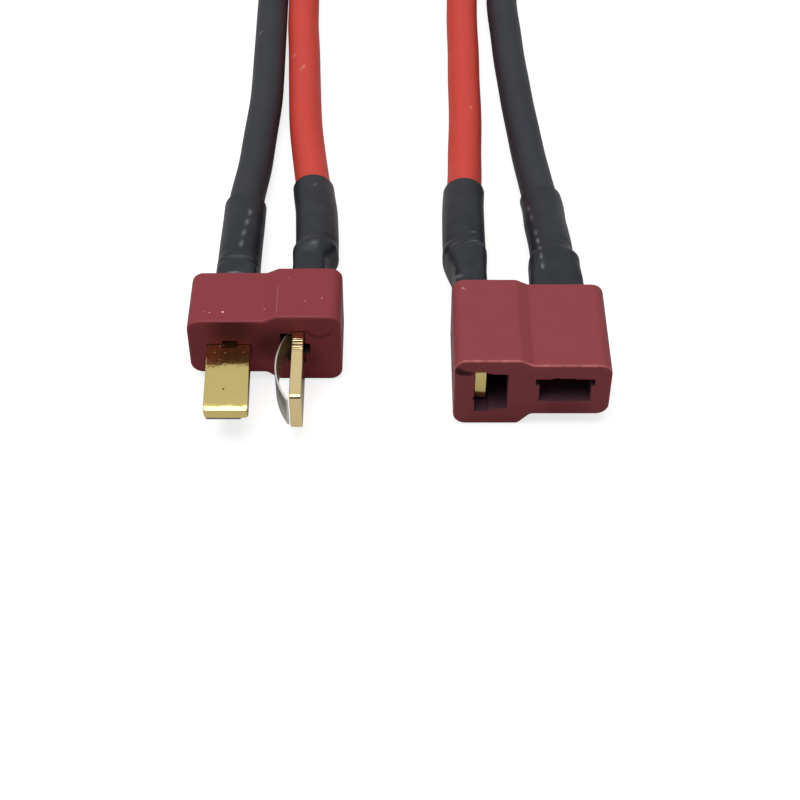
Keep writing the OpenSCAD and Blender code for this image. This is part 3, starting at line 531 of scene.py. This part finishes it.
def glassFilledNylon(name, one):
    # injection moulded nylon with short glass fibre: a dark red that is slightly cloudy and frosted,
    # rubbed paler along the front edge, where a painted highlight also lies, with lint and specks on it, and
    # with painted shade in dark patches on the front
    front, paleness = one["front"], one["paleness"]
    material, tree, shader = newMaterial(name, one["colour"], 0.45, specular=0.13)
    where = addNode(tree, "TexCoord").outputs["Object"]
    split = addNode(tree, "SeparateXYZ", {"Vector": where})
    # flow patches, 3 mm across
    cloud = addNode(tree, "TexNoise", {"Vector": where, "Scale": 350.0, "Detail": 4.0, "Roughness": 0.6})
    mottled = addNode(tree, "Mix", {
        "Factor": cloud.outputs["Fac"], "A": linear(one["colour"]), "B": linear(one["pale"])
    }, data_type="RGBA")
    # the rubbed edge with a painted highlight on it: a paler band from 0.1 to 0.3 mm behind the front, over
    # the rounding of the front edge, broken up by scuffs 0.7 mm long
    scuffs = addNode(tree, "TexNoise", {"Vector": where, "Scale": 1500.0, "Detail": 3.0})
    behind = addNode(tree, "MapRange", {
        "Value": split.outputs["Y"], "From Min": (front + 0.06) * mm, "From Max": (front + 0.12) * mm
    })
    before = addNode(tree, "MapRange", {
        "Value": split.outputs["Y"], "From Min": (front + 0.32) * mm, "From Max": (front + 0.22) * mm
    })
    edge = addNode(tree, "Math", {0: behind.outputs[0], 1: before.outputs[0]}, operation="MULTIPLY")
    some = addNode(tree, "MapRange", {
        "Value": scuffs.outputs["Fac"], "From Min": 0.35, "From Max": 0.65,
        "To Min": paleness * 0.4, "To Max": paleness
    })
    rubAndHighlight = addNode(tree, "Math", {0: edge.outputs[0], 1: some.outputs[0]}, operation="MULTIPLY")
    lintAndLines = 0.0
    for x, y, z, size, strength in one["specks"]:
        far = addNode(tree, "VectorMath", {0: where, 1: (x * mm, y * mm, z * mm)}, operation="DISTANCE")
        near = addNode(tree, "MapRange", {
            "Value": far.outputs["Value"], "From Min": size * mm, "From Max": 0.6 * size * mm,
            "To Max": strength
        })
        lintAndLines = addNode(tree, "Math", {0: lintAndLines, 1: near.outputs[0]}, operation="MAXIMUM").outputs[0]
    # faint pale lines along the top face, such as the one along the top of the plug's slanted step
    for x, y0, y1, strength in one["paleLines"]:
        beside = addNode(tree, "Math", {0: split.outputs["X"], 1: x * mm, 2: 0.05 * mm}, operation="COMPARE")
        along = addNode(tree, "Math", {
            0: split.outputs["Y"], 1: (y0 + y1) / 2 * mm, 2: (y1 - y0) / 2 * mm
        }, operation="COMPARE")
        line = addNode(tree, "Math", {0: beside.outputs[0], 1: along.outputs[0]}, operation="MULTIPLY")
        faint = addNode(tree, "Math", {0: line.outputs[0], 1: strength}, operation="MULTIPLY")
        lintAndLines = addNode(tree, "Math", {0: lintAndLines, 1: faint.outputs[0]}, operation="MAXIMUM").outputs[0]
    # painted shade: dark patches on the front face only, where shade falls round the blades, low down and
    # under the ejector marks' rims
    ahead = addNode(tree, "Math", {0: 1.0, 1: behind.outputs[0]}, operation="SUBTRACT")
    for x, z, size, strength in one["paintedShade"]:
        far = addNode(tree, "VectorMath", {0: where, 1: (x * mm, front * mm, z * mm)}, operation="DISTANCE")
        soft = addNode(tree, "MapRange", {
            "Value": far.outputs["Value"], "From Min": size * mm, "From Max": 0.25 * size * mm,
            "To Max": strength
        }, interpolation_type="SMOOTHSTEP")
        shadedShare = addNode(tree, "Math", {0: soft.outputs[0], 1: ahead.outputs[0]}, operation="MULTIPLY")
        mottled = addNode(tree, "Mix", {
            "Factor": shadedShare.outputs[0], "A": mottled.outputs["Result"], "B": linear("#3C1418")
        }, data_type="RGBA")
    # the front edge turns paler, partly rubbed and partly a painted highlight
    rubbedAndLit = addNode(tree, "Mix", {
        "Factor": rubAndHighlight.outputs[0], "A": mottled.outputs["Result"], "B": linear("#E08D85")
    }, data_type="RGBA")
    whole = addNode(tree, "Mix", {
        "Factor": lintAndLines, "A": rubbedAndLit.outputs["Result"], "B": linear("#E8C2BC")
    }, data_type="RGBA")
    tree.links.new(whole.outputs["Result"], shader.inputs["Base Color"])
    fine = addNode(tree, "TexNoise", {"Vector": where, "Scale": 4000.0, "Detail": 4.0})  # 0.25 mm fibre grain
    bump = addNode(tree, "Bump", {"Height": fine.outputs["Fac"], "Strength": 0.15, "Distance": 0.00003})
    tree.links.new(bump.outputs["Normal"], shader.inputs["Normal"])
    rough = addNode(tree, "MapRange", {"Value": cloud.outputs["Fac"], "To Min": 0.38, "To Max": 0.52})
    tree.links.new(rough.outputs["Result"], shader.inputs["Roughness"])
    return material


def mouldedHousing(name, one):
    # rings of the outline drawn in by e (1 - sin t) at the rounded edges, minus each opening: an
    # outline swept back, wider by its flare at the mouth, and minus round ejector marks
    half, low, high, run = (section[key] for key in ("half", "low", "high", "run"))
    under, over = one["thin"]
    corners = np.array([
        (-half, under), (0, under), (run, low), (half, low),
        (half, high), (run, high), (0, over), (-half, over)
    ])
    radii = section["radii"]
    if one["mirror"]:
        corners, radii = (corners * (-1, 1))[::-1], radii[::-1]
    edge = []
    for t in np.radians(np.linspace(0, 90, 7)):
        inset = one["edge"] * (1 - math.sin(t))
        edge.append((one["edge"] * (1 - math.cos(t)), rounded(corners, radii, inset, 8)))
    back = [(one["depth"] - d, o) for d, o in edge[::-1]]
    where = (one["x"], one["front"], section["middle"])
    cutters = []
    for outline, r, start, end, flare in one["cuts"]:
        # a cut that starts at the front narrows by its flare just inside the mouth
        steps = [(start - 0.5, flare), (end, 0)]
        if start == 0:
            steps[1:1] = [(-0.01, flare), (flare * 0.4, flare * 0.35), (flare + 0.005, 0)]
        cutters.append((rings([(d, rounded(outline, r, -g, 5)) for d, g in steps], *where), 1))
    for x, z, r, deep in one["pins"]:
        # a circle that keeps its margin from the top face and from the round of the nearest corner
        a = np.linspace(0, 2 * np.pi, 64, endpoint=False)
        circle = np.stack([x + r * np.cos(a), np.minimum(z + r * np.sin(a), high - section["pinMargin"])], 1)
        topRound = section["radii"][3]
        hub = np.array([math.copysign(half - topRound, x), high - topRound])
        off = circle - hub
        outward = (off * (math.copysign(1, x), 1)).min(1) > 0
        reach = topRound - section["pinMargin"]
        circle = hub + off * (reach / np.maximum(np.hypot(*off.T) * outward, reach))[:, None]
        cutters.append((rings([(-0.5, circle), (deep, circle)], *where), 0))
    # Two empty material slots on the solid and on each cutter let the cut keep the walls' index.
    mesh = gridMesh(name, rings(edge + back, *where))
    mesh.materials.append(None)
    mesh.materials.append(None)
    solid = bpy.data.objects.new(name + "Uncut", mesh)
    scene.collection.objects.link(solid)
    holders = []
    for index, (grid, wall) in enumerate(cutters):
        cutMesh = gridMesh(f"{name}Cut{index}", grid)
        cutMesh.materials.append(None)
        cutMesh.materials.append(None)
        cutMesh.polygons.foreach_set("material_index", np.full(len(cutMesh.polygons), wall))
        holder = bpy.data.objects.new(cutMesh.name, cutMesh)
        scene.collection.objects.link(holder)
        holders.append(holder)
        cut = solid.modifiers.new("cut", "BOOLEAN")
        cut.operation = "DIFFERENCE"
        cut.solver = "EXACT"
        cut.object = holder
    bpy.context.view_layer.update()
    housing = bpy.data.meshes.new_from_object(solid.evaluated_get(bpy.context.evaluated_depsgraph_get()))
    housing.name = name
    for holder in holders + [solid]:
        bpy.data.objects.remove(holder)
    housing.shade_smooth()
    housing.set_sharp_from_angle(angle=math.radians(32))
    return housing


for name, one in housings.items():
    mesh = mouldedHousing(name + "Housing", one)
    walls = np.zeros(len(mesh.polygons), np.int32)
    mesh.polygons.foreach_get("material_index", walls)
    nylon = glassFilledNylon(name + "GlassFilledNylon", one)
    place(mesh.name, mesh, nylon, "housing_nylon", one["node"], weighted=True)
    mesh.materials.append(inside)
    mesh.polygons.foreach_set("material_index", walls)
    print(" ", name, len(mesh.polygons), "faces,", int(walls.sum()), "in the openings")


def goldPlate(name, colour, pit=None):
    # gold flashed over nickel on stamped copper: warm and bright, with fine draw lines from the
    # stamping, soft waves from the press, and pale dust near the housing
    material, tree, shader = newMaterial(name, colour, 0.1, metallic=1.0)
    where = addNode(tree, "TexCoord").outputs["Object"]
    split = addNode(tree, "SeparateXYZ", {"Vector": where})
    stretched = addNode(tree, "Mapping", {"Vector": where, "Scale": (9000, 700, 9000)})
    lines = addNode(tree, "TexNoise", {"Vector": stretched.outputs["Vector"], "Scale": 1.0, "Detail": 3.0})
    rough = addNode(tree, "MapRange", {"Value": lines.outputs["Fac"], "To Min": 0.06, "To Max": 0.2})
    tree.links.new(rough.outputs["Result"], shader.inputs["Roughness"])
    wave = addNode(tree, "TexNoise", {"Vector": where, "Scale": 700.0, "Detail": 2.0})  # 1.4 mm waves
    soft = addNode(tree, "Bump", {"Height": wave.outputs["Fac"], "Strength": 0.5, "Distance": 0.00008})
    bump = addNode(tree, "Bump", {
        "Height": lines.outputs["Fac"], "Strength": 0.12, "Distance": 0.00001,
        "Normal": soft.outputs["Normal"]
    })
    tree.links.new(bump.outputs["Normal"], shader.inputs["Normal"])
    # dust: one speck in 0.5 mm at most, on what lies nearer to the plug than 3 mm
    grime = addNode(tree, "TexVoronoi", {"Vector": where, "Scale": 1900.0, "Randomness": 1.0})
    dot = addNode(tree, "MapRange", {"Value": grime.outputs["Distance"], "From Min": 0.16, "From Max": 0.07})
    chosen = addNode(tree, "Math", {0: grime.outputs["Color"], 1: 0.6}, operation="GREATER_THAN")
    spotted = addNode(tree, "Math", {0: dot.outputs[0], 1: chosen.outputs[0]}, operation="MULTIPLY")
    rooted = addNode(tree, "MapRange", {
        "Value": split.outputs["Y"], "From Min": -12.6 * mm, "From Max": -11.2 * mm, "To Max": 0.55
    })
    dust = addNode(tree, "Math", {0: spotted.outputs[0], 1: rooted.outputs[0]}, operation="MULTIPLY")
    dusty = addNode(tree, "Mix", {
        "Factor": dust.outputs[0], "A": linear(colour), "B": linear("#DCCDB4")
    }, data_type="RGBA")
    dirt = 0.0
    if pit:
        far = addNode(tree, "VectorMath", {0: where, 1: [value * mm for value in pit]}, operation="DISTANCE")
        dirt = addNode(tree, "MapRange", {
            "Value": far.outputs["Value"], "From Min": 0.16 * mm, "From Max": 0.08 * mm, "To Max": 0.9
        }).outputs[0]
    mixed = addNode(tree, "Mix", {
        "Factor": dirt, "A": dusty.outputs["Result"], "B": linear("#5A3A24")
    }, data_type="RGBA")
    tree.links.new(mixed.outputs["Result"], shader.inputs["Base Color"])
    bare = addNode(tree, "Math", {0: 1.0, 1: dust.outputs[0]}, operation="SUBTRACT")
    tree.links.new(bare.outputs[0], shader.inputs["Metallic"])
    return material


def springStrip(name):
    # cold rolled spring steel strip: grey, smooth, with rolling lines along it
    material, tree, shader = newMaterial(name, "#EAE6E0", 0.28, metallic=1.0)
    where = addNode(tree, "TexCoord").outputs["Object"]
    stretched = addNode(tree, "Mapping", {"Vector": where, "Scale": (8000, 500, 8000)})
    lines = addNode(tree, "TexNoise", {"Vector": stretched.outputs["Vector"], "Scale": 1.0, "Detail": 2.0})
    rough = addNode(tree, "MapRange", {"Value": lines.outputs["Fac"], "To Min": 0.2, "To Max": 0.38})
    tree.links.new(rough.outputs["Result"], shader.inputs["Roughness"])
    return material


def tinnedStrands(name):
    # fine copper strands tinned by the solder they soaked up: coppery grooves between silvery ridges
    material, tree, shader = newMaterial(name, "#B98A62", 0.35, metallic=1.0)
    where = addNode(tree, "TexCoord").outputs["Object"]
    strand = addNode(tree, "TexWave", {
        "Vector": where, "Scale": 1100.0, "Distortion": 1.5
    }, bands_direction="X")
    colour = addNode(tree, "ValToRGB", {"Fac": strand.outputs["Fac"]}, stops=[
        (0.2, "#9A5A38"), (0.7, "#C9C2B8")
    ])
    tree.links.new(colour.outputs["Color"], shader.inputs["Base Color"])
    bump = addNode(tree, "Bump", {"Height": strand.outputs["Fac"], "Strength": 0.5, "Distance": 0.00008})
    tree.links.new(bump.outputs["Normal"], shader.inputs["Normal"])
    return material


def tinSolder(name):
    # tin solder left to cool by itself: silvery and smooth, with dull frosty patches
    material, tree, shader = newMaterial(name, "#C4C6C8", 0.22, metallic=1.0)
    where = addNode(tree, "TexCoord").outputs["Object"]
    frost = addNode(tree, "TexNoise", {"Vector": where, "Scale": 1500.0, "Detail": 5.0})
    rough = addNode(tree, "MapRange", {"Value": frost.outputs["Fac"], "To Min": 0.12, "To Max": 0.45})
    tree.links.new(rough.outputs["Result"], shader.inputs["Roughness"])
    return material


print("contacts")
plate = {
    "tab": 5.0, "tabRound": 0.7,  # the solder tab's length, and its end's corner radius
    "notchLong": 1.6, "notchDeep": 0.45,
    "edgeRound": 0.12,
    "chamfer": (0.12, 0.06),  # length and depth, under the front end
    "ridgeStep": 0.36,
}
# At: the middle of the blade, x and z. Nose: length and drop of the pressed-down front end, on the side
# away from the spring. Notch: where the notches start that lock the blade in its housing. Yaw: how far
# it turns aside for each millimetre outside the housing. Pit: the place of one dark pit. Ridges: how
# deep the grooves across its thin edges are.
plugBlade = {
    "wide": 4.5, "thick": 1.2, "tip": -18.7, "rear": -1.9, "tabWide": 3.2, "tipRound": 0.4, "notch": -5.4,
    "housing": -9.4
}
socketContact = {
    "wide": 5.0, "tip": -14.4, "rear": -3.5, "tabWide": 4.2, "tipRound": 0.6, "notch": -7.8,
    "housing": -15.8, "colour": "#EDD78C", "nose": (0.2, 0.08), "yaw": 0.0, "pit": None, "ridges": 0.0
}
contacts = [
    {
        **plugBlade, "name": "plugFlatBlade", "node": "male_negative_blade", "at": (-17.3, 4.5),
        "upright": False, "colour": "#EDD78C", "nose": (1.9, 0.26), "yaw": 0.03,
        "pit": (-17.4, -15.8, 5.1), "ridges": 0.0
    },
    {
        # painted highlight: this blade gets a paler, brighter gold than the other contacts, for the brighter
        # light it reflects
        **plugBlade, "name": "plugUprightBlade", "node": "male_positive_blade", "at": (-10.1, 4.65),
        "upright": True, "colour": "#FFE6AC", "nose": (0.22, 0.06), "yaw": 0.008,
        "pit": None, "ridges": 0.022
    },
    {
        **socketContact, "name": "socketFlatContact", "node": "female_negative_contact",
        "at": (17.0, 5.75), "upright": False, "thick": 1.1
    },
    {
        **socketContact, "name": "socketUprightContact", "node": "female_positive_contact",
        "at": (8.47, 4.55), "upright": True, "thick": 1.2
    },
]


def turnedIn(distance, r):
    # how far a corner of radius r draws a side in, at a distance from the end: r - sqrt(r^2 - (r - d)^2)
    return r - np.sqrt(np.clip(r * r - np.clip(r - distance, 0, r) ** 2, 0, None))


def plateGrid(one, shape):
    # rounded rectangles along Y. The half width follows the round tip, the notch and the tab; the
    # upper face drops by h (1 - sqrt(1 - (1 - d / l)^2)) over the nose; ridges cross the thin edges,
    # strongest 1.4 mm out of the housing
    tip, rear, end = one["tip"], one["rear"], one["rear"] + shape["tab"]
    notch, notchEnd = one["notch"], one["notch"] + shape["notchLong"]
    quarter = 1 - np.cos(np.linspace(0, np.pi / 2, 9))
    y = np.unique(np.concatenate([
        tip + one["tipRound"] * quarter, np.linspace(tip + 0.4, rear - 0.01, 400),
        [notch - 0.02, notch, notchEnd, notchEnd + 0.02, rear, rear + 0.01],
        np.linspace(rear + 0.1, end - shape["tabRound"], 8)[:-1], end - shape["tabRound"] * quarter
    ]))
    bladeWide = one["wide"] / 2 - turnedIn(y - tip, one["tipRound"])
    tabWide = one["tabWide"] / 2 - turnedIn(end - y, shape["tabRound"])
    wide = np.where(y < rear, bladeWide, tabWide) - shape["notchDeep"] * ((y >= notch) & (y <= notchEnd))
    out = one["housing"] - y
    strength = (0.12 + 0.88 * smooth(4.0, 1.5, out) * smooth(0.3, 1.3, out)) * (out > 0)
    wave = 0.5 + 0.5 * np.cos(2 * np.pi * y / shape["ridgeStep"] + 1.5 * np.sin(4.8 * y))
    wide = wide - one["ridges"] * strength * smooth(0.3, 1.5, y - tip) * wave
    length, drop = one["nose"]
    t = np.clip(1 - (y - tip) / length, 0, 1)
    upper = one["thick"] / 2 - drop * (1 - np.sqrt(np.clip(1 - t * t, 0, 1)))
    length, rise = shape["chamfer"]
    lower = -one["thick"] / 2 + rise * np.clip(1 - (y - tip) / length, 0, 1)
    outlines = np.stack([
        rounded(box(-w, w, lo, hi), shape["edgeRound"], 0, 5) for w, lo, hi in zip(wide, lower, upper)
    ])
    across, up = outlines[..., 0], outlines[..., 1]
    if one["upright"]:
        across, up = up, -across
    x = one["at"][0] + across + one["yaw"] * np.clip(out, 0, None)[:, None]
    return np.stack([x, y[:, None] + 0 * x, one["at"][1] + up], -1)


for one in contacts:
    gold = goldPlate(one["name"] + "Gold", one["colour"], one["pit"])
    mesh = gridMesh(one["name"], plateGrid(one, plate))
    place(one["name"], mesh, gold, "gold_plated_contact", one["node"], weighted=True)

print("springs")
# reach and root: how far the bowed strip goes out of the housing and into it. leg: how deep its straight
# leg ends. face: from the blade's middle to the strip.
springs = {
    "reach": 9.15, "root": 1.0, "leg": 6.0, "face": 0.62, "bow": 1.4, "thick": 0.2, "wide": 3.5,
    "edgeRound": 0.06, "front": -9.4
}
leaves = [
    {"name": "plugFlatSpring", "node": "male_negative_spring", "at": (-17.3, 4.5), "upright": False},
    {"name": "plugUprightSpring", "node": "male_positive_spring", "at": (-10.1, 4.65), "upright": True},
]


def leafGrid(one, shape):
    # strip along an arc of radius r = (h^2 + bow^2) / (2 bow) over a chord 2 h, then a straight leg
    halfWide, halfThick = shape["wide"] / 2, shape["thick"] / 2
    h = (shape["reach"] + shape["root"]) / 2
    r = (h * h + shape["bow"] ** 2) / (2 * shape["bow"])
    span = math.asin(h / r)
    a = np.linspace(-span, span, 60)
    normal = np.stack([np.sin(a), np.cos(a)], 1)
    centre = np.array([(shape["root"] - shape["reach"]) / 2, shape["face"] + shape["bow"] - r])
    path = centre + (r + halfThick) * normal
    leg = np.linspace(path[-1, 0] + 0.1, shape["leg"], 12)
    path = np.concatenate([path, np.stack([leg, np.full(12, shape["face"] + halfThick)], 1)])
    normal = np.concatenate([normal, np.tile((0, 1), (12, 1))])
    outline = rounded(box(-halfWide, halfWide, -halfThick, halfThick), shape["edgeRound"], 0, 3)
    y = shape["front"] + path[:, 0:1] + normal[:, 0:1] * outline[None, :, 1]
    away = path[:, 1:2] + normal[:, 1:2] * outline[None, :, 1]
    across = outline[None, :, 0] + 0 * away
    x, z = (-away, across) if one["upright"] else (across, -away)
    return np.stack([one["at"][0] + x, y, one["at"][1] + z], -1)


steel = springStrip("rolledSpringSteel")
for one in leaves:
    place(one["name"], gridMesh(one["name"], leafGrid(one, springs)), steel, "spring_steel", one["node"])

print("solder joints")
strands = tinnedStrands("tinnedCopperStrands")
solder = tinSolder("tinSolder")
for end in ("male", "female"):
    for pole in ("negative", "positive"):
        for kind, material in (("strands", strands), ("solder", solder)):
            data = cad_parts[f"{end}_{pole}_{kind}"].data
            data.materials.clear()
            data.materials.append(material)

print("floor and light")
# The paper is white to the camera and in the metal, and it throws less light back up than it shows.
paper = {"half": 3, "drop": 0.00002, "shown": 0.45, "thrown": 0.6, "glow": 0.74, "mirrored": 0.5}  # metres
floorMesh = bpy.data.meshes.new("paleFloor")
floorCorners = [(x * paper["half"], y * paper["half"], 0) for x, y in ((-1, -1), (1, -1), (1, 1), (-1, 1))]
floorMesh.from_pydata(floorCorners, [], [(0, 1, 2, 3)])
floor = bpy.data.objects.new("paleFloor", floorMesh)
floor.location.z = -paper["drop"]
scene.collection.objects.link(floor)
floorMaterial, tree, shader = newMaterial("paleFloorPaper", "#F4F4F4", 0.9)  # plain white card
tree.nodes.remove(shader)
ray = addNode(tree, "LightPath").outputs
mirrored = addNode(tree, "Math", {0: ray["Is Glossy Ray"], 1: paper["mirrored"]}, operation="MULTIPLY")
seen = addNode(tree, "Math", {0: ray["Is Camera Ray"], 1: mirrored.outputs[0]}, operation="MAXIMUM")
seen = addNode(tree, "Math", {0: seen.outputs[0], 1: ray["Is Transmission Ray"]}, operation="MAXIMUM")
colour = addNode(tree, "Mix", {
    "Factor": seen.outputs[0], "A": (paper["thrown"],) * 3 + (1,), "B": (paper["shown"],) * 3 + (1,)
}, data_type="RGBA")
matte = addNode(tree, "BsdfDiffuse", {"Color": colour.outputs["Result"]})
lit = addNode(tree, "Math", {0: ray["Is Camera Ray"], 1: paper["glow"]}, operation="MULTIPLY")
glow = addNode(tree, "Emission", {"Color": (1, 1, 1, 1), "Strength": lit.outputs[0]})
both = addNode(tree, "AddShader", {0: matte.outputs[0], 1: glow.outputs[0]})
tree.links.new(both.outputs[0], tree.nodes["Material Output"].inputs["Surface"])
floorMesh.materials.append(floorMaterial)

# The sky is brightest high up behind the object and darker low in front of it: its brightness follows
# the direction's part along aim.
sky = {"aim": (-0.12, 0.55, 0.83), "from": -0.15, "to": 1.0, "dark": 0.07, "bright": 0.62}
world = bpy.data.worlds.new("softStudio")
scene.world = world
world.use_nodes = True
tree = world.node_tree
direction = addNode(tree, "TexCoord").outputs["Generated"]
toward = addNode(tree, "VectorMath", {0: direction, 1: sky["aim"]}, operation="DOT_PRODUCT")
level = addNode(tree, "MapRange", {
    "Value": toward.outputs["Value"], "From Min": sky["from"], "From Max": sky["to"],
    "To Min": sky["dark"], "To Max": sky["bright"]
}, interpolation_type="SMOOTHSTEP")
tree.links.new(level.outputs[0], tree.nodes["Background"].inputs["Strength"])
tree.nodes["Background"].inputs["Color"].default_value = (1, 1, 1, 1)

# place and aim in metres, size of the square in metres, power in watts
lamp = {"place": (-0.09, 0.0, 0.6), "aim": (0, 0.02, 0), "size": 0.6, "power": 3.1}
light = bpy.data.lights.new("overhead", "AREA")
light.shape = "SQUARE"
light.size = lamp["size"]
light.energy = lamp["power"]
holder = bpy.data.objects.new("overhead", light)
holder.location = lamp["place"]
x, y, z = (a - b for a, b in zip(lamp["aim"], lamp["place"]))
holder.rotation_euler = (math.atan2(math.hypot(x, y), -z), 0, math.atan2(-x, y))
scene.collection.objects.link(holder)

print("done")
